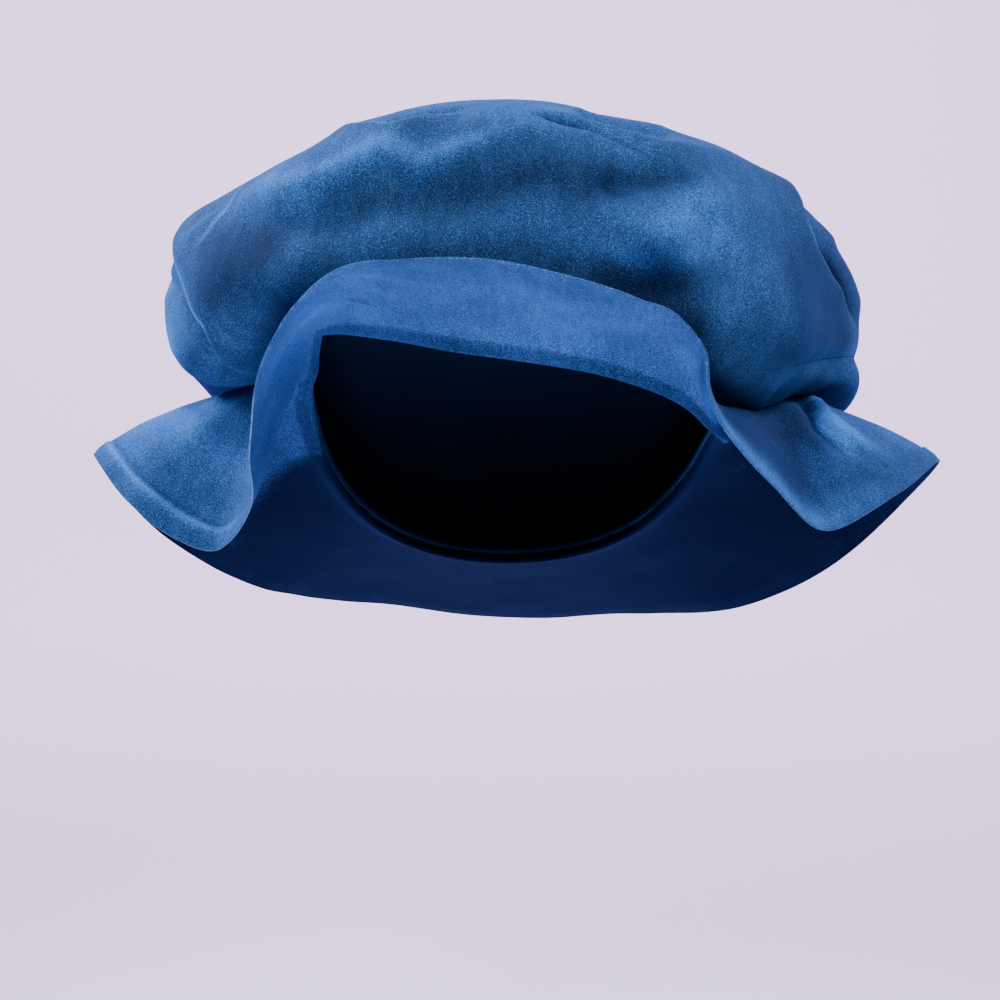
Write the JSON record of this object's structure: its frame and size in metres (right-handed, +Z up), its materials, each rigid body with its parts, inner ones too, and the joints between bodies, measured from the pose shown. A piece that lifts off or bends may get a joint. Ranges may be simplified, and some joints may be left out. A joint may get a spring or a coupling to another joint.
{
  "type": "medieval flat cap",
  "caption": "Soft velvet flat cap with a large puffed crown over a wide drooping brim that turns up above the forehead.",
  "frame": {"origin": "centre of the head opening, at the level of the seam between crown and brim", "axes": "+Z up as the wearer stands, -Y the front of the cap, +X the wearer's left; the opening's plane leans back by 33 degrees"},
  "size_m": [0.3329, 0.3235, 0.235],
  "materials": {
    "crown_velvet": "short-pile velvet",
    "crown_under_velvet": "short-pile velvet",
    "brim_velvet": "short-pile velvet, stitched near the hem"
  },
  "bodies": {
    "root": {"crown_top": "crown_velvet", "crown_under": "crown_under_velvet", "brim": "brim_velvet"}
  },
  "joints": []
}
